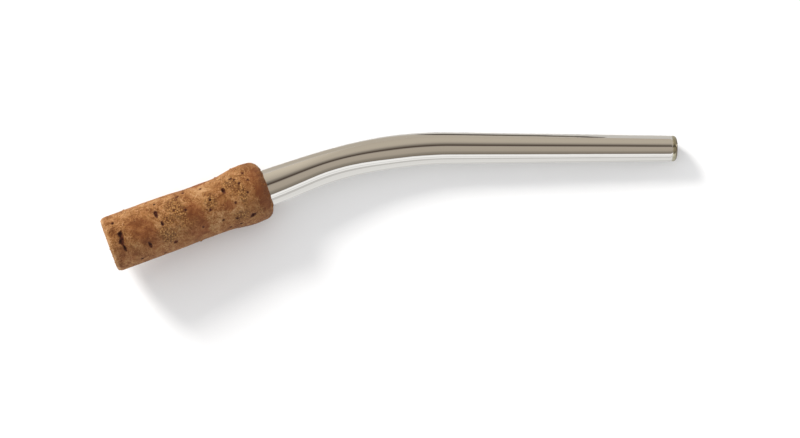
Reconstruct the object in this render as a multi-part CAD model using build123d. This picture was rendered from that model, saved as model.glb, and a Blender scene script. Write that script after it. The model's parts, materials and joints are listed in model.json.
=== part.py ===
"""Dip pen holder: a natural cork grip on a bent, tapered steel tube, with a spring-leaf nib socket.

Everything is first made flat, with the bend lying in the XY plane. Distances called stations run
along the centreline from the front face of the grip, through the bend, to the butt of the handle.
The pen is then turned into the pose in which it lies on a desk: the tail of the tube flat on the
surface along its side, and the rear shoulder of the grip beside it.
"""

import math
import os

from build123d import *

# ---------------------------------------------------------------- driving sizes, in millimetres

# cork grip
grip_length = 45.8
barrel_radius = 7.68            # where the fingers hold it
barrel_length = 17.0            # straight stretch behind the front face
front_rounding = 1.3
waist_radius = 7.44
waist_from_front = 26.0
waist_from_rear = 13.8
bulge_radius = 8.38
bulge_from_rear = 5.7
shoulder_radius = 8.2           # where the rear rounding starts
rear_rounding = 3.0

# steel handle tube
tube_root_radius = 5.08         # inside the grip and where it leaves the grip
tube_tail_radius = 3.57
tube_wall = 0.8
tang_station = 24.0             # front end of the tube, hidden in the grip
neck_length = 12.3              # straight, from the grip to the bend
bend_angle = 21.55
bend_radius = 108.5
tail_length = 62.85             # straight, from the bend to the butt
oval_depth = 0.08               # share by which bending has flattened the tube
oval_from_bend = 7.5            # most oval this far into the bend
oval_reach = 19.8               # round again this far either side
neck_steps = 3                  # short straight-sided lengths that make up the curve
bend_steps = 14

# butt plug
plug_head = 1.4
plug_rim_rounding = 0.95
plug_spigot = 6.0

# nib socket
mouth_radius = 3.25             # land that guides the nib
mouth_land = 2.5
ferrule_relief = 0.2            # how much wider the bore is behind the land
ferrule_wall = 0.35
ferrule_recess = 0.3            # set back from the grip's front face
ferrule_length = 22.0
ferrule_lip = 0.12              # rounding of the mouth
cup_from_land = 10.5
cup_length = 5.0
cup_floor = 0.4
leaf_count = 4
leaf_sheet = 0.3                # thickness of the spring stamping, cup and leaves alike
leaf_span = 62.0                # degrees round the socket
leaf_from_land = 0.2            # between the mouth land and a leaf's tip
leaf_curl = 0.9                 # how far the tip turns in
leaf_curl_length = 3.5
nib_gap = 0.1                   # between the ferrule and a leaf at rest
leaf_root_gap = 0.06            # between a leaf and the cup it bends from

# bush between ferrule and tube
bush_wall = 0.55                # round the ferrule
bush_station = 15.0
bush_collar = 3.0
bush_spigot = 9.0
bush_vent_radius = 2.4

# ---------------------------------------------------------------- sizes that follow from them

THETA = math.radians(bend_angle)
bend_start = grip_length + neck_length
bend_length = bend_radius * THETA
bend_end = bend_start + bend_length
butt_station = bend_end + tail_length
plug_station = butt_station - plug_head
ferrule_bore = mouth_radius + ferrule_relief
ferrule_radius = ferrule_bore + ferrule_wall
bush_radius = ferrule_radius + bush_wall
ferrule_end = ferrule_recess + ferrule_length
land_end = ferrule_recess + mouth_land
cup_station = land_end + cup_from_land
collar_station = tang_station - bush_collar
taper = (tube_root_radius - tube_tail_radius) / (butt_station - grip_length)
UP = (Align.CENTER, Align.CENTER, Align.MIN)


def centreline(station):
    """Point and heading of the centreline in the flat XY plane."""
    straight = min(station, bend_start)
    turned = min(max(station - bend_start, 0), bend_length) / bend_radius
    beyond = max(station - bend_end, 0)
    heading = THETA - turned
    x = straight * math.cos(THETA) + bend_radius * (math.sin(THETA) - math.sin(heading)) + beyond
    y = straight * math.sin(THETA) + bend_radius * (math.cos(heading) - math.cos(THETA))
    return Vector(x, y, 0), heading


def plane_at(station):
    """Plane square to the centreline, its Z towards the butt and its X out of the bend's plane."""
    point, heading = centreline(station)
    return Plane(origin=point, x_dir=(0, 0, 1), z_dir=(math.cos(heading), math.sin(heading), 0))


def rod(radius, start, end):
    """Round bar on the grip's axis between two stations."""
    return Pos(0, 0, start) * Cylinder(radius, end - start, align=UP)


def spun(outline):
    """Solid of revolution about the grip's axis; the outline's X is radius and its Y is station."""
    return revolve(Plane.XZ * make_face(outline), Axis.Z)


# ---------------------------------------------------------------- the grip


def cork_grip():
    bulge_station = grip_length - bulge_from_rear
    shoulder_station = grip_length - rear_rounding
    side = Spline(
        (barrel_radius, barrel_length),
        (waist_radius, waist_from_front),
        (waist_radius, grip_length - waist_from_rear),
        (bulge_radius, bulge_station),
        (shoulder_radius, shoulder_station),
        tangents=[(0, 1), (-0.05, 1)],
    )
    front_radius = barrel_radius - front_rounding
    rear_radius = shoulder_radius - rear_rounding
    outline = [
        Line((0, 0), (front_radius, 0)),
        RadiusArc((front_radius, 0), (barrel_radius, front_rounding), -front_rounding),
        Line((barrel_radius, front_rounding), (barrel_radius, barrel_length)),
        side,
        RadiusArc((shoulder_radius, shoulder_station), (rear_radius, grip_length), -rear_rounding),
        Line((rear_radius, grip_length), (0, grip_length)),
        Line((0, grip_length), (0, 0)),
    ]
    body = spun(outline)
    body -= rod(ferrule_radius, 0, bush_station)
    body -= rod(bush_radius, bush_station, collar_station)
    return body - rod(tube_root_radius, collar_station, grip_length)


# ---------------------------------------------------------------- the handle tube


def tube_radius(station):
    """Outer radius of the tube, before bending made it oval."""
    return tube_root_radius - taper * max(station - grip_length, 0)


def ovality(station):
    """Share by which the tube is flattened across the bend and spread the other way."""
    offset = (station - bend_start - oval_from_bend) / oval_reach
    return oval_depth * math.cos(math.pi / 2 * offset) ** 2 if abs(offset) < 1 else 0


def tube_section(station, inset):
    radius, share = tube_radius(station), ovality(station)
    return plane_at(station) * Ellipse(radius * (1 + share) - inset, radius * (1 - share) - inset)


def tube_core(inset):
    """The tube's whole length as one solid bar, smaller than its outside by the inset."""
    neck = [grip_length + neck_length * i / neck_steps for i in range(neck_steps)]
    bend = [bend_start + bend_length * i / bend_steps for i in range(bend_steps + 1)]
    stations = [tang_station, *neck, *bend, plug_station]
    return loft([tube_section(station, inset) for station in stations], ruled=True)


def handle_tube():
    return tube_core(0) - tube_core(tube_wall)


def tail_plug():
    """Round-nosed plug that closes the butt, with a spigot that follows the tube's tapered bore."""
    head_radius = tube_radius(plug_station)
    head = Cone(head_radius, tube_radius(butt_station), plug_head, align=UP)
    rounding = min(plug_rim_rounding, 0.9 * plug_head)
    head = fillet(head.edges().sort_by(Axis.Z)[-1], rounding)
    spigot = Cone(
        tube_radius(plug_station - plug_spigot) - tube_wall,
        head_radius - tube_wall,
        plug_spigot,
        align=UP,
    )
    return plane_at(plug_station) * (head + Pos(0, 0, -plug_spigot) * spigot)


# ---------------------------------------------------------------- the nib socket


def coupling_bush():
    """Turned bush: a sleeve that holds the ferrule, a collar and a spigot that fills the tube."""
    body = rod(bush_radius, bush_station, collar_station)
    body += rod(tube_root_radius, collar_station, tang_station)
    body += rod(tube_root_radius - tube_wall, tang_station, tang_station + bush_spigot)
    body -= rod(bush_vent_radius, bush_station, tang_station + bush_spigot)
    return body - rod(ferrule_radius, bush_station, ferrule_end)


def socket_ferrule():
    tube = rod(ferrule_radius, ferrule_recess, ferrule_end)
    tube -= rod(mouth_radius, ferrule_recess, land_end)
    tube -= rod(ferrule_bore, land_end, ferrule_end)
    mouth = tube.edges().filter_by(GeomType.CIRCLE).group_by(Axis.Z)[0]
    return fillet(mouth, ferrule_lip)


def spring_cup():
    cup_end = cup_station + cup_length
    body = rod(ferrule_bore, cup_station, cup_end)
    return body - rod(ferrule_bore - leaf_sheet, cup_station, cup_end - cup_floor)


def leaf_root():
    """Radius and station of the middle of a leaf's root, the line it bends about."""
    return ferrule_bore - nib_gap - leaf_sheet / 2, cup_station - leaf_root_gap


def spring_leaf(turn):
    """One leaf, leaning in from its root to the mouth's radius and then curled in at its tip."""
    middle = mouth_radius - nib_gap - leaf_sheet / 2
    tip_station = land_end + leaf_from_land
    curl_start = (middle, tip_station + leaf_curl_length)
    lean = Line(leaf_root(), curl_start)
    curl = TangentArc(curl_start, (middle - leaf_curl, tip_station), tangent=lean % 1)
    strip = trace([lean, curl], line_width=leaf_sheet)
    leaf = revolve(Plane.XZ * strip, Axis.Z, revolution_arc=leaf_span)
    return Rot(0, 0, turn - leaf_span / 2) * leaf


# ---------------------------------------------------------------- lying on a desk


def resting_turn():
    """Rotation that lays the pen down: tail cone on its side, grip's rear shoulder touching."""
    side_angle = math.atan(taper)
    butt = centreline(butt_station)[0]
    shoulder = centreline(grip_length - rear_rounding)[0] - butt
    normal = Vector(-math.sin(side_angle), 0, 1)
    for _ in range(20):
        along = normal.X * math.cos(THETA) + normal.Y * math.sin(THETA)
        ring = (shoulder_radius - rear_rounding) * math.sqrt(1 - along**2)
        lift = ring + rear_rounding - tube_tail_radius * math.cos(side_angle)
        across = (lift - shoulder.X * normal.X) / shoulder.Y
        normal = Vector(normal.X, across, math.sqrt(1 - normal.X**2 - across**2))
    forward = Vector(1, 0, 0) - normal * normal.X
    return Plane(origin=(0, 0, 0), x_dir=forward, z_dir=normal).location.inverse()


def pieces():
    """Every piece by name, in the flat frame."""
    grip = plane_at(0)
    made = {
        "cork_grip": grip * cork_grip(),
        "handle_tube": handle_tube(),
        "tail_plug": tail_plug(),
        "coupling_bush": grip * coupling_bush(),
        "socket_ferrule": grip * socket_ferrule(),
        "spring_cup": grip * spring_cup(),
    }
    for i in range(leaf_count):
        made[f"spring_leaf_{i + 1}"] = grip * spring_leaf(leaf_turn(i))
    return made


def leaf_turn(i):
    """Where leaf i sits round the socket, in degrees from the grip's X."""
    return (i + 0.5) * 360 / leaf_count


def laid_down(made):
    """The location that carries the flat frame to the pen's place on the desk."""
    turn = resting_turn()
    box = Compound([turn * solid for solid in made.values()]).bounding_box()
    return Pos(-box.center().X, -box.center().Y, -box.min.Z) * turn


made = pieces()
place = laid_down(made)
os.makedirs("parts", exist_ok=True)
for name, solid in made.items():
    export_step(place * solid, f"parts/{name}.step")
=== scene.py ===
import json
import math
import random

import bpy
import numpy as np
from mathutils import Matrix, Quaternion, Vector, noise


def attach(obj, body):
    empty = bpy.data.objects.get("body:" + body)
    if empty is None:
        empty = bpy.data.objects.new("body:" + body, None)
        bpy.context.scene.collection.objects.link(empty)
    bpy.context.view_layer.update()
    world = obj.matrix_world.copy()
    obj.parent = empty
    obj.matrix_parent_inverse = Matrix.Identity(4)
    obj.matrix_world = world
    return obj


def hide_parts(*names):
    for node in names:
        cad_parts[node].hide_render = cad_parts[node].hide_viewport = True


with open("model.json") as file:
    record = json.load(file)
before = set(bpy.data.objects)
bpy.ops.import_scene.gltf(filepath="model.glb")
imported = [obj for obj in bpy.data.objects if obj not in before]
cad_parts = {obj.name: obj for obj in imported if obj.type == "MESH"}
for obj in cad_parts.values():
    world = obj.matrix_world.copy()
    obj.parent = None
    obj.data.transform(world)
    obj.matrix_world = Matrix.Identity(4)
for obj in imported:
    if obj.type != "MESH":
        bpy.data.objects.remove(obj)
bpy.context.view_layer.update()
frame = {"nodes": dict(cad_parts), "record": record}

MM = 0.001

# ---------------------------------------------------------------- sizes, in millimetres

GRIP_LENGTH = 45.8
BARREL_RADIUS = 7.68
BARREL_LENGTH = 17.0
WAIST_RADIUS = 7.44
WAIST = (26.0, 32.0)
BULGE_RADIUS = 8.38
BULGE_STATION = 40.1
SHOULDER_RADIUS = 8.2
FRONT_ROUNDING = 1.3
REAR_ROUNDING = 3.0
GRIP_BORES = [(0.0, 3.8), (15.0, 4.35), (21.0, 5.08)]  # where each bore starts, and its radius
MOUTH_STATION = 1.61  # where the record's socket mount lies behind the grip's front face

TUBE_ROOT_RADIUS = 5.08
TUBE_TAIL_RADIUS = 3.57
TUBE_WALL = 0.8
TANG_STATION = 24.0
BEND_RADIUS = 108.5
OVAL_DEPTH = 0.08
OVAL_FROM_BEND = 7.5
OVAL_REACH = 19.8
TUBE_EDGE = 0.06  # how much the tube's end is broken
PLUG_HEAD = 1.4
PLUG_RIM = 0.95
PLUG_SPIGOT = 6.0

# ---------------------------------------------------------------- the pen's centreline


class Centreline:
    """Straight, arc, straight: the line from the grip's front face to the butt, in millimetres."""

    def __init__(self):
        mounts = {m["name"]: m for m in frame["record"]["mounts"]}
        mouth, butt = mounts["nib_socket"], mounts["butt_face"]
        self.grip_way = -Vector(mouth["axis"]).normalized()
        self.tail_way = Vector(butt["axis"]).normalized()
        self.front = Vector(mouth["pos_m"]) / MM - self.grip_way * MOUTH_STATION
        self.butt = Vector(butt["pos_m"]) / MM
        self.bend = self.grip_way.angle(self.tail_way)
        self.hinge = self.grip_way.cross(self.tail_way).normalized()
        # where the two straight lines would meet
        gap = self.butt - self.front
        across = gap - gap.project(self.tail_way)
        reach = self.grip_way - self.grip_way.project(self.tail_way)
        to_corner = across.dot(reach) / reach.length_squared
        corner = self.front + self.grip_way * to_corner
        tangent = BEND_RADIUS * math.tan(self.bend / 2)
        self.bend_start = to_corner - tangent
        self.bend_end = self.bend_start + BEND_RADIUS * self.bend
        self.length = self.bend_end + (self.butt - corner).length - tangent
        self.arc_start = corner - self.grip_way * tangent
        self.arc_end = corner + self.tail_way * tangent

    def at(self, station):
        """Point on the line and its direction there."""
        if station <= self.bend_start:
            return self.front + self.grip_way * station, self.grip_way.copy()
        if station >= self.bend_end:
            return self.arc_end + self.tail_way * (station - self.bend_end), self.tail_way.copy()
        turn = Quaternion(self.hinge, (station - self.bend_start) / BEND_RADIUS)
        way = turn @ self.grip_way
        inward = self.hinge.cross(self.grip_way)
        centre = self.arc_start + inward * BEND_RADIUS
        return centre + turn @ (-inward * BEND_RADIUS), way

    def axes(self, station):
        """Point, and the two cross directions: out of the bend's plane and within it."""
        point, way = self.at(station)
        return point, self.hinge.copy(), way.cross(self.hinge)


line = Centreline()

# ---------------------------------------------------------------- the camera

# In metres, with the lens and sensor in millimetres
CAMERA_DISTANCE = 0.5289
CAMERA_ELEVATION = math.radians(83)
CAMERA_AIM = Vector((0.00238, -0.0041, 0.0))
CAMERA_WAY = Vector((0, -math.cos(CAMERA_ELEVATION), math.sin(CAMERA_ELEVATION)))
CAMERA_LENS = 85
CAMERA_SENSOR = 36
CAMERA_RANGE = (0.01, 20)


def make_camera():
    data = bpy.data.cameras.new("camera")
    data.lens, data.sensor_width = CAMERA_LENS, CAMERA_SENSOR
    data.clip_start, data.clip_end = CAMERA_RANGE
    camera = bpy.data.objects.new("camera", data)
    bpy.context.scene.collection.objects.link(camera)
    camera.location = CAMERA_AIM + CAMERA_WAY * CAMERA_DISTANCE
    camera.rotation_euler = (-CAMERA_WAY).to_track_quat("-Z", "Y").to_euler()
    bpy.context.scene.camera = camera


# ---------------------------------------------------------------- colour and node helpers


def srgb(red, green, blue):
    """Linear colour from the 0 to 255 values seen on a screen."""
    def linear(c):
        c /= 255
        return c / 12.92 if c <= 0.04045 else ((c + 0.055) / 1.055) ** 2.4
    return (linear(red), linear(green), linear(blue), 1)


def dimmed(colour, share):
    return tuple(c * share for c in colour[:3]) + (1,)


class Nodes:
    """Short calls that add nodes to a tree; each returns the new node's output."""

    def __init__(self, tree):
        self.tree = tree

    def put(self, socket, value):
        if isinstance(value, bpy.types.NodeSocket):
            self.tree.links.new(value, socket)
        else:
            socket.default_value = value

    def node(self, kind, out=0, settings=None, **inputs):
        node = self.tree.nodes.new("ShaderNode" + kind)
        for key, value in (settings or {}).items():
            setattr(node, key, value)
        for key, value in inputs.items():
            self.put(node.inputs[key.replace("_", " ")], value)
        return node.outputs[out]

    def place(self):
        """Position on the piece in millimetres."""
        spot = self.node("TexCoord", out="Object")
        return self.vector("SCALE", spot, 1 / MM)

    def vector(self, operation, a, b):
        """Vector arithmetic; SCALE takes a number as its second part."""
        node = self.tree.nodes.new("ShaderNodeVectorMath")
        node.operation = operation
        self.put(node.inputs[0], a)
        self.put(node.inputs["Scale"] if operation == "SCALE" else node.inputs[1], b)
        return node.outputs[0]

    def noise(self, where, scale, detail=2.0, roughness=0.5):
        return self.node("TexNoise", Vector=where, Scale=scale, Detail=detail, Roughness=roughness)

    def attribute(self, name):
        return self.node("Attribute", out="Fac", settings={"attribute_name": name})

    def math(self, operation, a, b=0.5):
        node = self.tree.nodes.new("ShaderNodeMath")
        node.operation = operation
        self.put(node.inputs[0], a)
        self.put(node.inputs[1], b)
        return node.outputs[0]

    def span(self, value, low, high, to_low=0.0, to_high=1.0):
        node = self.tree.nodes.new("ShaderNodeMapRange")
        self.put(node.inputs["Value"], value)
        ends = {"From Min": low, "From Max": high, "To Min": to_low, "To Max": to_high}
        for key, number in ends.items():
            node.inputs[key].default_value = number
        return node.outputs[0]

    def ramp(self, value, stops):
        node = self.tree.nodes.new("ShaderNodeValToRGB")
        self.put(node.inputs[0], value)
        fill_ramp(node.color_ramp, stops)
        return node.outputs[0]

    def blend(self, share, a, b):
        """Colour a where share is 0, and b where it is 1."""
        node = self.tree.nodes.new("ShaderNodeMix")
        node.data_type = "RGBA"
        self.put(node.inputs["Factor"], share)
        self.put(node.inputs[6], a)
        self.put(node.inputs[7], b)
        return node.outputs[2]

    def bump(self, height, distance, strength=1.0):
        node = self.tree.nodes.new("ShaderNodeBump")
        self.put(node.inputs["Height"], height)
        node.inputs["Distance"].default_value = distance
        node.inputs["Strength"].default_value = strength
        return node.outputs[0]


class Look(Nodes):
    """A material under construction."""

    def __init__(self, name):
        self.material = bpy.data.materials.new(name)
        self.material.use_nodes = True
        super().__init__(self.material.node_tree)
        self.shader = self.tree.nodes["Principled BSDF"]

    def set(self, **values):
        """Constants or links on the shader's own sockets, spaces written as underscores."""
        for key, value in values.items():
            self.put(self.shader.inputs[key.replace("_", " ")], value)


def fill_ramp(ramp, stops):
    while len(ramp.elements) > 1:
        ramp.elements.remove(ramp.elements[-1])
    ramp.elements[0].position, ramp.elements[0].color = stops[0][0], stops[0][1]
    for position, colour in stops[1:]:
        ramp.elements.new(position).color = colour


# ---------------------------------------------------------------- mesh helpers


def make_piece(name, points, faces, material, body):
    mesh = bpy.data.meshes.new(name)
    mesh.from_pydata(np.asarray(points).tolist(), [], faces)
    mesh.validate()
    mesh.polygons.foreach_set("use_smooth", [True] * len(mesh.polygons))
    mesh.materials.append(material)
    piece = bpy.data.objects.new(name, mesh)
    bpy.context.scene.collection.objects.link(piece)
    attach(piece, body)
    return piece


def ring_faces(rings, around, closed):
    """Quads between rings of points; closed joins the last ring to the first."""
    faces = []
    for i in range(rings if closed else rings - 1):
        a, b = i * around, (i + 1) % rings * around
        for j in range(around):
            k = (j + 1) % around
            faces.append((a + j, a + k, b + k, b + j))
    return faces


def put_attribute(piece, name, values):
    layer = piece.data.attributes.new(name, "FLOAT", "POINT")
    layer.data.foreach_set("value", np.asarray(values, np.float32).ravel())


def eased(x, knots):
    """Value at x through (x, value) knots, level at each knot."""
    xs, ys = zip(*knots)
    i = min(max(int(np.searchsorted(xs, x)) - 1, 0), len(xs) - 2)
    t = min(max((x - xs[i]) / (xs[i + 1] - xs[i]), 0), 1)
    return ys[i] + (ys[i + 1] - ys[i]) * t * t * (3 - 2 * t)


def grain(points, scale, shift):
    """Smooth noise from -1 to 1 at many points."""
    offset = Vector((shift, shift * 0.7, -shift))
    return np.array([noise.noise(Vector(p) * scale + offset) for p in points])


def soft_step(x, low, high):
    t = np.clip((x - low) / (high - low), 0, 1)
    return t * t * (3 - 2 * t)


# ---------------------------------------------------------------- the cork grip

CORK_AROUND = 340
CORK_STEP = 0.2
FACE_RINGS = 12
FRONT_RINGS = 8
REAR_RINGS = 18
GRIP_TOP = Vector((0.110, -0.123, 0.986))  # marks at 0 degrees face this way, up to the camera

# Lenticels on the side that faces up: distance from the front, degrees round from the top, length
# along the grip and across it, depth and lean in degrees
PORES = [
    (3, 44, 0.6, 0.75, 0.4, 0), (10.5, -29, 0.7, 1.8, 0.6, 8), (14.7, 28, 0.9, 2.2, 0.7, -4),
    (15.5, 5, 0.7, 1.2, 0.5, 0), (15.3, 54, 0.5, 0.4, 0.2, 0), (17.3, -45, 0.9, 0.9, 0.5, 30),
    (19.7, 23, 0.5, 0.6, 0.3, 0), (22.6, 15, 0.5, 0.7, 0.3, 0), (23.6, 60, 0.7, 0.5, 0.25, 0),
    (21.8, 53, 0.8, 0.3, 0.2, -10), (28.4, 53, 0.5, 0.6, 0.4, 0), (29, -3, 0.6, 0.7, 0.5, 0),
    (29.8, 17, 0.4, 0.6, 0.3, 0), (34, 26, 0.8, 1.9, 0.6, 12), (40.6, 46, 0.65, 0.65, 0.5, 0),
    (41.2, 28, 0.55, 0.6, 0.45, 0), (31.4, -34, 0.75, 0.6, 0.5, 20), (35.1, -41, 0.7, 0.5, 0.4, 0),
    (39.5, -43, 1.5, 1.0, 0.6, 30), (35.7, -60, 0.5, 0.6, 0.35, 0), (32.8, -64, 0.6, 0.5, 0.3, 0),
    (13.7, -70, 0.6, 0.6, 0.3, 0), (7.3, -58, 0.6, 0.6, 0.3, 0), (36, -6, 0.35, 0.45, 0.2, 0),
    (37.8, 39, 0.5, 0.5, 0.3, 0), (37, 45, 0.8, 0.3, 0.2, 0), (38.7, 27, 0.4, 0.7, 0.25, 0),
    (40, 5, 0.4, 0.5, 0.25, 0), (25.6, -33, 0.5, 0.4, 0.2, 0),
]
# The long jagged lenticel near the front, one slit along this path: distance from the front,
# degrees from the top and half width
CRACK = [
    (4.2, 18, 0.3), (3.85, 14.5, 0.6), (4, 7, 0.35), (3.6, -1, 0.6), (3.6, -6, 0.45),
    (3.8, -11.5, 0.25), (3.9, -17.5, 0.42), (4, -23, 0.25),
]
CRACK_DEPTH = 0.7
# A second one, across the underside
HIDDEN_CRACK = [
    (27.2, 168, 0.2), (27.6, 176, 0.5), (27.3, 184, 0.35), (27.8, 196, 0.55), (27.4, 208, 0.25),
]
# Smooth blotches: distance from the front, degrees from the top, half length, half width, and how
# much darker and redder (below 0) or lighter (above 0) they are
BLOTCHES = [
    (9.5, 12, 3.5, 3.5, -0.3), (11, -8, 2.5, 3, -0.45), (12, -25, 3, 2.5, -0.3),
    (24, 8, 2.5, 3, -0.45), (24, -10, 3, 3.5, -0.5), (24.5, -30, 3, 3, -0.5),
    (35.5, 6, 2.5, 2.5, 0.1), (34, -8, 1.75, 1.5, -0.45), (29.5, -30, 2.5, 2.5, 0.12),
    (43, 14, 1.5, 5.5, -0.4), (44, -12, 2, 5, -0.8), (44, 34, 2, 3, -0.5),
    (4, -32, 2.5, 2.5, -0.3), (20, 30, 3, 3.5, 0.3), (30, 45, 5, 4, 0.25),
    (5.5, 45, 4, 3, 0.2), (6.5, 18, 2, 3, 0.15), (16.5, 62, 6, 2.5, 0.2),
    (38.5, 48, 3, 3, 0.2), (31, 12, 2, 3, -0.1),
]
# Crumbly, speckled places: distance from the front, degrees from the top, half length, half width
GRANULES = [
    (21, 16, 2, 4.5), (16, -22, 2.5, 3), (20, 35, 2.5, 3), (38.5, 10, 1.5, 4.5),
    (36.5, -38, 3, 2), (36.5, 34, 3, 2), (29.5, 14, 2, 2.5), (17.5, 8, 2, 2),
]
# Crumbs that stand out from the rims and edges: distance from the front, degrees from the top,
# width and height
CRUMBS = [
    (0.35, 52, 0.7, 0.32), (0.6, -36, 0.8, 0.3), (0.5, -50, 0.6, 0.25), (7.0, 84, 0.7, 0.2),
    (33.4, 86, 0.6, 0.18), (38.2, 84, 0.6, 0.2), (45.2, -20, 1.0, 0.35), (45.3, 8, 0.9, 0.3),
    (45.0, 40, 0.8, 0.3), (45.4, -48, 0.9, 0.3), (24.0, -86, 0.8, 0.2), (0.4, 150, 0.8, 0.22),
    (45.2, 140, 0.9, 0.4), (45.3, 220, 1.0, 0.35),
]
SMALLEST_PORE = 0.6
MARK_SEED = 5
HIDDEN_PORES = 34
HIDDEN_BLOTCHES = 16


def cork_radius(station):
    """Outer radius of the grip."""
    shoulder = GRIP_LENGTH - REAR_ROUNDING
    return eased(min(station, shoulder), [
        (BARREL_LENGTH, BARREL_RADIUS), (WAIST[0], WAIST_RADIUS), (WAIST[1], WAIST_RADIUS),
        (BULGE_STATION, BULGE_RADIUS), (shoulder + 2, SHOULDER_RADIUS - 0.04),
    ])


def cork_outline():
    """(station, radius) of each ring, from the bore's mouth over the outside and back inside."""
    mouth = GRIP_BORES[0][1]
    front = BARREL_RADIUS - FRONT_ROUNDING
    shoulder = GRIP_LENGTH - REAR_ROUNDING
    rings = [(0, mouth + (front - mouth) * i / FACE_RINGS) for i in range(FACE_RINGS)]
    for i in range(FRONT_RINGS + 1):
        turn = math.pi / 2 * i / FRONT_RINGS
        rings.append((FRONT_ROUNDING * (1 - math.cos(turn)), front + FRONT_ROUNDING * math.sin(turn)))
    steps = round((shoulder - FRONT_ROUNDING) / CORK_STEP)
    for i in range(1, steps):
        station = FRONT_ROUNDING + (shoulder - FRONT_ROUNDING) * i / steps
        rings.append((station, cork_radius(station)))
    rear = cork_radius(shoulder) - REAR_ROUNDING
    for i in range(REAR_RINGS + 1):
        turn = math.pi / 2 * i / REAR_RINGS
        rings.append((shoulder + REAR_ROUNDING * math.sin(turn), rear + REAR_ROUNDING * math.cos(turn)))
    ends = [start for start, _ in GRIP_BORES[1:]] + [GRIP_LENGTH]
    for (start, radius), end in reversed(list(zip(GRIP_BORES, ends))):
        rings += [(end, radius), (start, radius)]
    return rings[:-1]  # the last one is the mouth again


def spread_marks():
    """Pores and blotches for the sides and underside, of the same sort as those on top."""
    pick = random.Random(MARK_SEED)
    pores, blotches = [], []
    for _ in range(HIDDEN_PORES):
        size = pick.choice([0.4, 0.5, 0.5, 0.7, 0.9])
        pores.append((pick.uniform(2, 43), pick.uniform(84, 276), size, size * pick.uniform(0.8, 2.2),
                      size * 0.6, pick.uniform(-30, 30)))
    for _ in range(HIDDEN_BLOTCHES):
        blotches.append((pick.uniform(2, 43), pick.uniform(80, 280), pick.uniform(2, 4),
                         pick.uniform(2.4, 4.5), pick.choice([-0.7, -0.5, -0.3, 0.25, 0.4])))
    return pores, blotches


def mark_distance(station, arc, mark, radius):
    """How far each point is from a mark's middle, 1 at its edge."""
    s0, degrees, half_long, half_wide = mark[:4]
    lean = math.radians(mark[5]) if len(mark) > 5 else 0
    round_about = (np.degrees(arc) - degrees + 180) % 360 - 180
    ds, dt = station - s0, np.radians(round_about) * radius
    long = ds * math.cos(lean) + dt * math.sin(lean)
    wide = dt * math.cos(lean) - ds * math.sin(lean)
    return np.sqrt((long / half_long) ** 2 + (wide / half_wide) ** 2)


def path_distance(station, arc, path, radius):
    """How far each point is from a slit's path, 1 at its edge."""
    nearest = np.full(len(station), 99.0)
    for (s0, d0, w0), (s1, d1, w1) in zip(path, path[1:]):
        ds, dt = station - s0, np.radians((np.degrees(arc) - d0 + 180) % 360 - 180) * radius
        run_s, run_t = s1 - s0, np.radians(d1 - d0) * radius
        share = np.clip((ds * run_s + dt * run_t) / (run_s**2 + run_t**2 + 1e-9), 0, 1)
        away = np.hypot(ds - share * run_s, dt - share * run_t)
        nearest = np.minimum(nearest, away / (w0 + (w1 - w0) * share))
    return nearest


def outward(rings, seen):
    """The outline's outward direction at each ring as (station, radius), zero inside the bores."""
    outline = np.array(rings)
    ahead = np.roll(outline, -1, 0) - np.roll(outline, 1, 0)
    out = np.stack([-ahead[:, 1], ahead[:, 0]], 1)
    out /= np.maximum(np.linalg.norm(out, axis=1), 1e-9)[:, None]
    out[~seen] = 0
    return np.repeat(out[:, 0], CORK_AROUND), np.repeat(out[:, 1], CORK_AROUND)


def cork_relief(flat, station, arc, radius, on_skin, hidden_pores):
    """How far each point stands out from the turned shape, and how deep in a pore it is."""
    lift = 0.10 * grain(flat, 0.09, 3) + 0.035 * grain(flat, 0.45, 9) + 0.022 * grain(flat, 1.6, 21)
    # the bulge stands a little higher on its far side
    lift += 0.14 * np.sin(arc) * np.exp(-((station - 41.5) / 4) ** 2) * on_skin
    # the front rim and the rear edge are crumbly
    rim = np.exp(-((station - 0.3) / 0.5) ** 2)
    rim += 0.7 * soft_step(station, GRIP_LENGTH - 2.3, GRIP_LENGTH - 0.8)
    flakes = np.maximum(grain(flat, 1.3, 40) - 0.35, 0)
    lift += rim * (0.5 * flakes - 0.10 * np.maximum(grain(flat, 0.9, 60), 0))
    ragged = 1 + 0.35 * grain(flat, 1.1, 80) + 0.25 * grain(flat, 2.6, 90)
    pits = []
    for s0, degrees, long, wide, depth, lean in PORES + hidden_pores:
        half_long, half_wide = max(long, SMALLEST_PORE) / 2, max(wide, SMALLEST_PORE) / 2
        shape = (s0, degrees, half_long, half_wide, depth, lean)
        pits.append((mark_distance(station, arc, shape, radius), depth))
    for path in (CRACK, HIDDEN_CRACK):
        pits.append((path_distance(station, arc, path, radius), CRACK_DEPTH))
    pore = np.zeros(len(flat))
    for near, depth in pits:
        near = near * ragged
        lift -= depth * (1 - soft_step(near, 0.35, 1.15)) * 0.8
        pore = np.maximum(pore, 1 - soft_step(near, 0.82, 1.35))
    for s0, degrees, width, height in CRUMBS:
        near = mark_distance(station, arc, (s0, degrees, width / 2, width / 2), radius)
        lift += height * (1 - soft_step(near, 0.3, 1.3)) * on_skin
    return lift, pore


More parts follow.
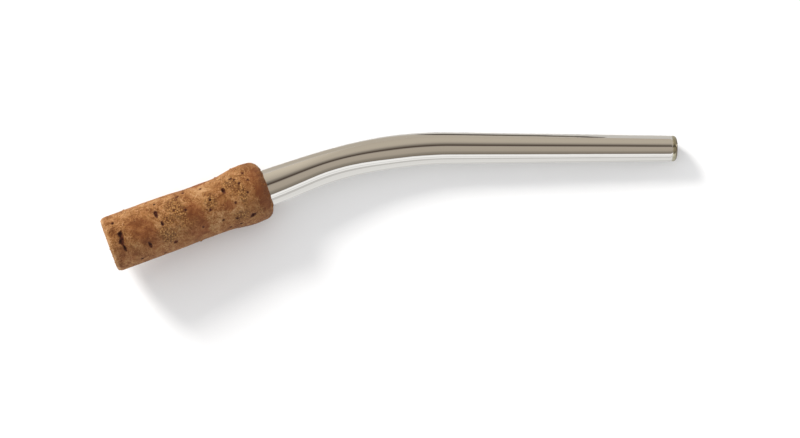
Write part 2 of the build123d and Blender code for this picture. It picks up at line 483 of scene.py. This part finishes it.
def cork_tones(flat, station, arc, radius, hidden_blotches):
    """Tone from dark 0 to light 1 (with painted light and shade at the front rim), how red and how crumbly
    the cork is at each point.
    """
    tone_and_rim_light = 0.5 + 0.20 * grain(flat, 0.16, 5) + 0.16 * grain(flat, 0.5, 15)
    wander = 1 + 0.35 * grain(flat, 0.4, 33) + 0.2 * grain(flat, 1.2, 44)
    darker, lighter = np.zeros(len(flat)), np.zeros(len(flat))
    for mark in BLOTCHES + hidden_blotches:
        near = mark_distance(station, arc, mark[:4], radius) * wander
        soft, firm = 1 - soft_step(near, 0.55, 1.25), 1 - soft_step(near, 0.95, 1.05)
        share = mark[4] * (0.6 * soft + 0.4 * firm)
        darker, lighter = np.minimum(darker, share), np.maximum(lighter, share)
    tone_and_rim_light += 0.36 * darker + 0.4 * lighter
    # painted highlight on the front rim, where the light catches its rounding, and painted shade on the
    # skin just behind it
    tone_and_rim_light += 0.3 * soft_step(-station, -1.1, -0.5) - 0.12 * np.exp(-((station - 1.9) / 0.8) ** 2)
    granule = np.maximum(0.9 * grain(flat, 0.28, 70) - 0.1, 0)
    for mark in GRANULES:
        near = mark_distance(station, arc, mark, radius) * wander
        granule = np.maximum(granule, 1 - soft_step(near, 0.5, 1.2))
    return tone_and_rim_light, -1.6 * darker, granule


def make_cork(material):
    way = line.grip_way
    up = (GRIP_TOP - GRIP_TOP.project(way)).normalized()
    side = way.cross(up) if way.cross(up).y > 0 else up.cross(way)
    rings = cork_outline()
    station = np.repeat([ring[0] for ring in rings], CORK_AROUND)
    radius = np.repeat([ring[1] for ring in rings], CORK_AROUND)
    arc = np.tile(np.arange(CORK_AROUND) * 2 * math.pi / CORK_AROUND, len(rings))
    flat = np.stack([station, radius * np.cos(arc), radius * np.sin(arc)], 1)
    # the rings that can be seen: all but the mouth of the socket and the bores
    seen = np.arange(len(rings)) <= len(rings) - 2 * len(GRIP_BORES)
    seen[0] = False
    on_skin = np.repeat(seen, CORK_AROUND)
    on_side = on_skin & (radius > GRIP_BORES[-1][1])

    hidden_pores, hidden_blotches = spread_marks()
    lift, pore = cork_relief(flat, station, arc, radius, on_skin, hidden_pores)
    tone_and_rim_light, red, granule = cork_tones(flat, station, arc, radius, hidden_blotches)
    out_station, out_radius = outward(rings, seen)
    spot_station = station + out_station * lift
    spot_radius = radius + out_radius * lift
    offset = np.outer(spot_station, way)
    offset += np.outer(spot_radius * np.cos(arc), up)
    offset += np.outer(spot_radius * np.sin(arc), side)
    points = (np.array(line.front) + offset) * MM
    faces = ring_faces(len(rings), CORK_AROUND, closed=True)
    piece = make_piece("cork_grip_surface", points, faces, material, "holder")
    put_attribute(piece, "pore", pore * on_side)
    put_attribute(piece, "tone_and_rim_light", np.clip(tone_and_rim_light, 0, 1))
    put_attribute(piece, "granule", np.clip(granule, 0, 1))
    put_attribute(piece, "red", np.clip(red, 0, 1))
    put_attribute(piece, "rear", soft_step(station, 38, GRIP_LENGTH))
    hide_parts("cork_grip")


def cork_look():
    look = Look("natural_cork")
    where = look.place()
    # swirled position, for growth lines and mottling that curl round each other
    curl = look.node("TexNoise", out="Color", Vector=where, Scale=0.22, Detail=1.0)
    drift = look.vector("SCALE", look.vector("SUBTRACT", curl, (0.5, 0.5, 0.5)), 5.0)
    swirled = look.vector("ADD", where, drift)
    mottle = look.noise(swirled, 0.75, detail=4, roughness=0.6)
    fine = look.noise(where, 2.6, detail=5, roughness=0.75)
    # the tone read here also carries the painted highlight and painted shade at the front rim
    shade = look.math("ADD", look.attribute("tone_and_rim_light"), look.span(mottle, 0.34, 0.66, -0.2, 0.2))
    # the fine grain is strong in crumbly places and weak in the smooth reddish ones
    strength = look.math("SUBTRACT", look.span(look.noise(where, 0.3, detail=1), 0.36, 0.64, 0.5, 1.35),
                         look.math("MULTIPLY", look.attribute("red"), 0.4))
    speckle = look.math("MULTIPLY", look.span(fine, 0.3, 0.7, -0.34, 0.34), strength)
    base = look.ramp(look.math("ADD", shade, speckle), [
        (0.0, srgb(84, 46, 18)), (0.25, srgb(117, 71, 35)), (0.5, srgb(147, 98, 56)),
        (0.7, srgb(168, 122, 77)), (1.0, srgb(193, 151, 106)),
    ])
    # here and there, thin dark and pale contours of the swirled pattern
    swirl = look.math("FRACT", look.math("MULTIPLY", look.noise(swirled, 0.13, detail=1.0), 17.0))
    contour = look.span(look.math("ABSOLUTE", look.math("SUBTRACT", swirl, 0.5)), 0.0, 0.1, 1.0, 0.0)
    patchy = look.span(look.noise(where, 0.2, detail=1), 0.42, 0.62)
    contour = look.math("MULTIPLY", contour, patchy)
    base = look.blend(look.math("MULTIPLY", contour, 0.45), base, srgb(88, 48, 22))
    paler = look.span(look.math("ABSOLUTE", look.math("SUBTRACT", swirl, 0.8)), 0.0, 0.12, 0.4, 0.0)
    base = look.blend(look.math("MULTIPLY", paler, patchy), base, srgb(196, 150, 98))
    base = look.blend(look.math("MULTIPLY", look.attribute("red"), 0.5), base, srgb(134, 74, 41))
    # crumbly patches: light granules with dark seams between them
    seams = look.node("TexVoronoi", out="Distance", Vector=where, Scale=2.3, Randomness=1.0)
    cells = look.node("TexVoronoi", out="Color", Vector=where, Scale=2.3)
    tint = look.node("SeparateColor", Color=cells)
    seam_dark = look.span(seams, 0.3, 0.75, -0.3, 0.45)
    speck = look.ramp(look.math("SUBTRACT", look.math("MULTIPLY", tint, 0.7), seam_dark), [
        (0.0, srgb(84, 50, 25)), (0.35, srgb(130, 86, 46)), (0.65, srgb(166, 118, 66)),
        (1.0, srgb(192, 148, 92)),
    ])
    crumb = look.math("MULTIPLY", look.attribute("granule"), 0.75)
    base = look.blend(crumb, base, speck)
    # small dark specks everywhere
    dust = look.span(look.noise(where, 2.1, detail=1), 0.69, 0.74)
    base = look.blend(look.math("MULTIPLY", dust, 0.75), base, srgb(62, 32, 16))
    # the rear end is darker; the pores and the rind round each are darker too, partly the cork's own dark
    # lenticels and partly painted shade in their hollows
    base = look.blend(look.math("MULTIPLY", look.attribute("rear"), 0.3), base, srgb(84, 48, 24))
    rind = look.span(look.attribute("pore"), 0.0, 0.5)
    base = look.blend(look.math("MULTIPLY", rind, 0.5), base, srgb(92, 52, 30))
    # the pit colour is the lenticel's own dark brown, deepened by painted shade in the hollow
    pit = look.ramp(look.noise(where, 1.6, detail=2), [
        (0.42, srgb(46, 19, 12)), (0.66, srgb(98, 50, 34)),
    ])
    base = look.blend(look.math("MULTIPLY", look.attribute("pore"), 0.96), base, pit)
    finest = look.noise(where, 6.0, detail=3, roughness=0.65)
    height = look.math("ADD", look.math("MULTIPLY", fine, 0.7), look.math("MULTIPLY", finest, 0.5))
    height = look.math("SUBTRACT", height, look.math("MULTIPLY", crumb, seams))
    look.set(Base_Color=base, Roughness=0.8, Specular_IOR_Level=0.25,
             Normal=look.bump(height, 0.0004))
    return look.material


# ---------------------------------------------------------------- the steel tube and its plug

TUBE_AROUND = 128
TUBE_STEP = 0.6
PLUG_AROUND = 96
RIM_RINGS = 12


def tube_radius(station):
    """Outer radius of the tube, before bending made it oval."""
    taper = (TUBE_ROOT_RADIUS - TUBE_TAIL_RADIUS) / (line.length - GRIP_LENGTH)
    return TUBE_ROOT_RADIUS - taper * max(station - GRIP_LENGTH, 0)


def tube_oval(station):
    """Share by which the tube is flattened across the bend and spread the other way."""
    offset = (station - line.bend_start - OVAL_FROM_BEND) / OVAL_REACH
    return OVAL_DEPTH * math.cos(math.pi / 2 * offset) ** 2 if abs(offset) < 1 else 0


def swept(outline, around, oval=None):
    """Rings round the centreline from (station, radius) pairs: points, their stations and turns."""
    points, along, about = [], [], []
    for station, radius in outline:
        point, high, wide = line.axes(station)
        share = oval(station) if oval else 0
        for j in range(around):
            turn = 2 * math.pi * j / around
            points.append((point + high * (math.cos(turn) * radius * (1 + share))
                           + wide * (math.sin(turn) * radius * (1 - share))) * MM)
            along.append(station)
            about.append(turn)
    return points, along, about


def make_tube(material):
    end = line.length - PLUG_HEAD
    steps = round((end - TANG_STATION) / TUBE_STEP)
    stations = [TANG_STATION + (end - TANG_STATION) * i / steps for i in range(steps + 1)]
    outside = [(s, tube_radius(s)) for s in stations[:-1]]
    outside += [(end - TUBE_EDGE, tube_radius(end)), (end, tube_radius(end) - TUBE_EDGE)]
    inside = [(s, tube_radius(s) - TUBE_WALL) for s in reversed(stations[::6] + [end])]
    outline = outside + inside
    points, along, about = swept(outline, TUBE_AROUND, tube_oval)
    faces = ring_faces(len(outline), TUBE_AROUND, closed=True)
    piece = make_piece("tube_surface", points, faces, material, "holder")
    put_attribute(piece, "along", along)
    put_attribute(piece, "about", about)
    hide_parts("handle_tube")


def make_plug(material):
    """Round-nosed plug: a spigot, a thin groove at its joint, a full round rim and a flat end."""
    start = line.length - PLUG_HEAD
    radius = tube_radius(start)
    outline = [(start - PLUG_SPIGOT, 0.001), (start - PLUG_SPIGOT, radius - TUBE_WALL - 0.1),
               (start - 0.05, radius - TUBE_WALL), (start, radius - TUBE_WALL),
               (start, radius - 0.1), (start + 0.07, radius - 0.03), (start + 0.16, radius)]
    middle = line.length - PLUG_RIM
    for i in range(RIM_RINGS + 1):
        turn = math.pi / 2 * i / RIM_RINGS
        outline.append((middle + PLUG_RIM * math.sin(turn), radius - PLUG_RIM * (1 - math.cos(turn))))
    flat = radius - PLUG_RIM
    outline += [(line.length, flat * share) for share in (0.75, 0.5, 0.25, 0.001)]
    points, along, _ = swept(outline, PLUG_AROUND)
    faces = ring_faces(len(outline), PLUG_AROUND, closed=False)
    last_ring = range(len(points) - PLUG_AROUND, len(points))
    faces += [tuple(range(PLUG_AROUND)), tuple(reversed(last_ring))]
    piece = make_piece("plug_surface", points, faces, material, "holder")
    put_attribute(piece, "along", along)
    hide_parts("tail_plug")


def steel_look(name, tint, roughness, scratch):
    """Polished metal with fine drawing lines along its length and faint smudges."""
    look = Look(name)
    turn = look.attribute("about")
    across = look.node("CombineXYZ", X=look.math("MULTIPLY", look.attribute("along"), 0.05),
                       Y=look.math("MULTIPLY", look.math("SINE", turn), 5.0),
                       Z=look.math("MULTIPLY", look.math("COSINE", turn), 5.0))
    lines = look.noise(across, 3.0, detail=4, roughness=0.6)
    smudge = look.noise(look.place(), 0.12, detail=3)
    rough = look.math("ADD", look.span(smudge, 0.35, 0.7, roughness * 0.8, roughness * 1.5),
                      look.span(lines, 0.5, 0.8, 0.0, scratch))
    look.set(Base_Color=tint, Metallic=1.0, Roughness=rough, Normal=look.bump(lines, 0.000004, 0.6))
    return look.material


def plug_look():
    """Burnished steel, duller than the tube, with painted reflections along it: pale by the joint and dark
    brown round its rim.
    """
    look = Look("burnished_plug")
    speck = look.noise(look.place(), 1.6, detail=3, roughness=0.6)
    from_joint = look.math("SUBTRACT", look.attribute("along"), line.length - PLUG_HEAD)
    shade = look.math("ADD", look.math("DIVIDE", from_joint, PLUG_HEAD),
                      look.span(speck, 0.3, 0.7, -0.05, 0.05))
    # painted reflections along the plug: pale by the joint, a painted dark brown reflection round the rim,
    # grey again on the flat end
    tint = look.ramp(shade, [
        (0.0, srgb(206, 203, 188)), (0.2, srgb(174, 170, 150)), (0.6, srgb(168, 163, 142)),
        (0.8, srgb(112, 97, 84)), (0.92, srgb(104, 90, 78)), (0.98, srgb(158, 155, 146)),
    ])
    look.set(Base_Color=tint, Metallic=1.0, Roughness=look.span(speck, 0.3, 0.7, 0.12, 0.2),
             Normal=look.bump(speck, 0.00002, 0.5))
    return look.material


def plain_metal_look(name, tint, roughness):
    """Turned or stamped metal for the small inner parts."""
    look = Look(name)
    speck = look.noise(look.place(), 2.2, detail=4, roughness=0.6)
    colour = look.blend(look.span(speck, 0.35, 0.75, 0.0, 0.45), tint, dimmed(tint, 0.6))
    look.set(Base_Color=colour, Metallic=1.0,
             Roughness=look.span(speck, 0.3, 0.7, roughness, roughness * 1.6),
             Normal=look.bump(speck, 0.00001, 0.4))
    return look.material


def dress(node, material):
    """Gives a CAD node its finished material."""
    mesh = frame["nodes"][node].data
    mesh.materials.clear()
    mesh.materials.append(material)


# ---------------------------------------------------------------- floor and light

# What surrounds the pen, as polished metal reflects it, along a line square to the tail: degrees
# from straight up, below 0 towards the front and above 0 towards the back, and the shade there,
# which is brighter than white above 255
SURROUND = [
    (-92, srgb(218, 216, 213)), (-90.5, srgb(200, 198, 194)), (-88.5, srgb(206, 204, 200)),
    (-86.5, srgb(260, 259, 257)), (-77, srgb(260, 259, 257)), (-75.5, srgb(228, 226, 223)),
    (-73.5, srgb(228, 226, 223)), (-72, srgb(268, 267, 265)), (-57.6, srgb(268, 267, 265)),
    (-57, srgb(138, 130, 118)), (-50, srgb(140, 131, 119)), (-38, srgb(158, 149, 135)),
    (-26, srgb(184, 173, 157)), (-5, srgb(188, 177, 161)), (4, srgb(184, 173, 157)),
    (8.5, srgb(120, 110, 99)), (12, srgb(72, 58, 51)), (18, srgb(112, 102, 92)),
    (24, srgb(144, 135, 123)), (30, srgb(171, 161, 146)), (36, srgb(192, 181, 165)),
    (46, srgb(201, 190, 172)), (66, srgb(201, 190, 172)), (88, srgb(196, 185, 168)),
    (90, srgb(196, 185, 168)), (92, srgb(214, 210, 204)),
]
# The surround is brighter beyond the grip's end: the X of the direction where that starts and
# where it is complete, and how many times brighter it is there
GRIP_GLOW = (-0.1, -0.3, 1.38)
AMBIENT = (0.84, 0.84, 0.845, 1)
WHITE = (1, 1, 1, 1)


def make_world():
    """White to the camera, even light for dull surfaces, and the surround for polished ones."""
    world = bpy.data.worlds.new("studio")
    bpy.context.scene.world = world
    world.use_nodes = True
    sky = Nodes(world.node_tree)
    split = sky.tree.nodes.new("ShaderNodeSeparateXYZ")
    sky.put(split.inputs[0], sky.node("TexCoord", out="Generated"))
    angle = sky.math("ARCTAN2", split.outputs["Y"], split.outputs["Z"])
    stops = [((degrees + 180) / 360, colour) for degrees, colour in SURROUND]
    around = sky.ramp(sky.span(angle, -math.pi, math.pi), stops)
    start, end, brightest = GRIP_GLOW
    glow = sky.span(split.outputs["X"], start, end, 1.0, brightest)
    shine = sky.vector("SCALE", around, glow)
    lit = sky.blend(sky.node("LightPath", out="Is Glossy Ray"), AMBIENT, shine)
    shown = sky.blend(sky.node("LightPath", out="Is Camera Ray"), lit, WHITE)
    sky.put(sky.tree.nodes["Background"].inputs["Color"], shown)


# Lamps, in metres and watts: the key light, which casts the shadow
KEY_AZIMUTH = math.radians(135)
KEY_ELEVATION = math.radians(29)
KEY_DISTANCE = 1.4
KEY_SIZE = 0.5
KEY_POWER = 20
KEY_COLOUR = (1, 0.985, 0.96)
# and a small lamp whose reflection glints on the plug's rim
GLINT_AZIMUTH = math.radians(16)
GLINT_ELEVATION = math.radians(16)
GLINT_DISTANCE = 1.0
GLINT_SIZE = 0.16
GLINT_POWER = 0.5


def add_light(name, azimuth, elevation, distance, size, power, colour=(1, 1, 1), shine=False):
    """Round area lamp that faces the origin; shine says whether reflections show it."""
    data = bpy.data.lights.new(name, "AREA")
    data.shape, data.size, data.energy, data.color = "DISK", size, power, colour
    lamp = bpy.data.objects.new(name, data)
    bpy.context.scene.collection.objects.link(lamp)
    level = math.cos(elevation)
    way = Vector((math.cos(azimuth) * level, math.sin(azimuth) * level, math.sin(elevation)))
    lamp.location = way * distance
    lamp.rotation_euler = (-way).to_track_quat("-Z", "Y").to_euler()
    lamp.visible_glossy = shine
    lamp.visible_camera = False


FLOOR_HALF = 4.0  # metres


def rectangle(left, right, front, back):
    return [(left, front), (right, front), (right, back), (left, back)]


def make_floor():
    corners = rectangle(-FLOOR_HALF, FLOOR_HALF, -FLOOR_HALF, FLOOR_HALF)
    mesh = bpy.data.meshes.new("floor")
    mesh.from_pydata([(x, y, 0) for x, y in corners], [], [(0, 1, 2, 3)])
    look = Look("paper_white")
    mottle = look.noise(look.place(), 0.02, detail=2)
    look.set(Base_Color=look.ramp(mottle, [(0.3, (0.9, 0.9, 0.9, 1)), (0.7, (0.92, 0.92, 0.92, 1))]),
             Roughness=0.9, Specular_IOR_Level=0.1)
    mesh.materials.append(look.material)
    floor = bpy.data.objects.new("floor", mesh)
    bpy.context.scene.collection.objects.link(floor)


# Glowing desk cards that only reflections show, painted reflections of the desk and its shades; their
# places are in millimetres
DESK_WHITE = srgb(247, 246, 243)
# the near-side shade is a painted reflection of the desk darkened in the pen's own shadow
DESK_UNDER = srgb(224, 223, 220)  # beside the pen, on its near side
DESK_BEYOND = srgb(220, 216, 209)  # beside the pen, on its far side
DESK_FRONT = srgb(216, 214, 210)  # far in front of the pen
DESK_EDGE = srgb(98, 90, 81)
DESK_FAR = srgb(200, 190, 174)
DESK_FAR_GRIP = srgb(216, 208, 197)
DESK_HALF = 3000
DESK_HEIGHT = 0.10  # of the lowest shade over the floor
DESK_LAYER = 0.04  # between one shade and the next above it
GRIP_SIDE = (-30, -70)  # the X over which the far part changes to that shade
UNDER_STEP = (1.5, -8)  # from the pen's axis to the near edge of the shade beside it
FRONT_LINE = -34  # the Y at which the front shade begins
TAIL_LINE = 15.3  # the Y of the tail's axis
# Where the grey part of the desk begins
FAR_LINE = [
    (-300, -110), (-60, 4), (-32, 16), (-6, 25), (6, 28.5), (14, 30), (42, 29), (56, 33), (64, 48),
    (71, 110), (78, 3000),
]
EDGE_START = 4  # the corner of that line where its dark edge begins
EDGE_REACH = 2.4  # how many times further from the tail the dark edge ends than it begins


def card_part(name, layer, outline, colour, near_grip=None):
    """One glowing flat card that only reflections show, a painted reflection of an area of the desk, of
    another shade out beside the grip.
    """
    height = DESK_HEIGHT + layer * DESK_LAYER
    corners = [(x * MM, y * MM, height * MM) for x, y in outline]
    mesh = bpy.data.meshes.new(name)
    mesh.from_pydata(corners, [], [tuple(range(len(corners)))])
    look = Look(name)
    shade = look.blend(look.noise(look.place(), 0.02), colour, dimmed(colour, 0.94))
    if near_grip:
        along = look.node("SeparateXYZ", Vector=look.place())
        shade = look.blend(look.span(along, *GRIP_SIDE), shade, near_grip)
    # the card glows with its shade as a painted reflection; it is no lamp
    look.set(Base_Color=(0, 0, 0, 1), Specular_IOR_Level=0.0, Emission_Strength=1.0, Emission_Color=shade)
    mesh.materials.append(look.material)
    part = bpy.data.objects.new(name, mesh)
    bpy.context.scene.collection.objects.link(part)
    part.visible_camera = part.visible_diffuse = part.visible_shadow = part.visible_transmission = False


def make_cards():
    ridge = [line.at(station)[0] for station in range(-20, 200, 6)]
    under = [(p.x, p.y) for p in ridge]
    lip = [(x + UNDER_STEP[0], y + UNDER_STEP[1]) for x, y in under]
    inner = FAR_LINE[EDGE_START:]
    outer = [(x, TAIL_LINE + (y - TAIL_LINE) * EDGE_REACH) for x, y in inner[1:]]
    everywhere = rectangle(-DESK_HALF, DESK_HALF, -DESK_HALF, DESK_HALF)
    in_front = rectangle(-DESK_HALF, DESK_HALF, -DESK_HALF, FRONT_LINE)
    card_part("desk_white", 0, everywhere, DESK_WHITE)
    card_part("desk_under", 1, lip + under[::-1], DESK_UNDER)
    card_part("desk_beyond", 1, under + [(400, DESK_HALF)] + FAR_LINE[::-1], DESK_BEYOND)
    card_part("desk_far", 2, FAR_LINE + [(-300, DESK_HALF)], DESK_FAR, DESK_FAR_GRIP)
    card_part("desk_edge", 3, inner + outer[::-1], DESK_EDGE)
    card_part("desk_front", 1, in_front, DESK_FRONT)


def main():
    make_camera()
    make_world()
    make_floor()
    make_cards()
    add_light("key", KEY_AZIMUTH, KEY_ELEVATION, KEY_DISTANCE, KEY_SIZE, KEY_POWER, KEY_COLOUR)
    add_light("glint", GLINT_AZIMUTH, GLINT_ELEVATION, GLINT_DISTANCE, GLINT_SIZE, GLINT_POWER, shine=True)
    bpy.context.scene.view_settings.view_transform = "Standard"
    make_cork(cork_look())
    make_tube(steel_look("polished_steel", (0.76, 0.75, 0.735, 1), 0.03, 0.03))
    make_plug(plug_look())
    spring = plain_metal_look("spring_steel", srgb(176, 172, 166), 0.28)
    dress("socket_ferrule", plain_metal_look("ferrule_steel", srgb(205, 203, 200), 0.14))
    dress("coupling_bush", plain_metal_look("bush_alloy", srgb(200, 200, 204), 0.3))
    dress("spring_cup", spring)
    for name in frame["nodes"]:
        if name.startswith("spring_leaf"):
            dress(name, spring)


main()
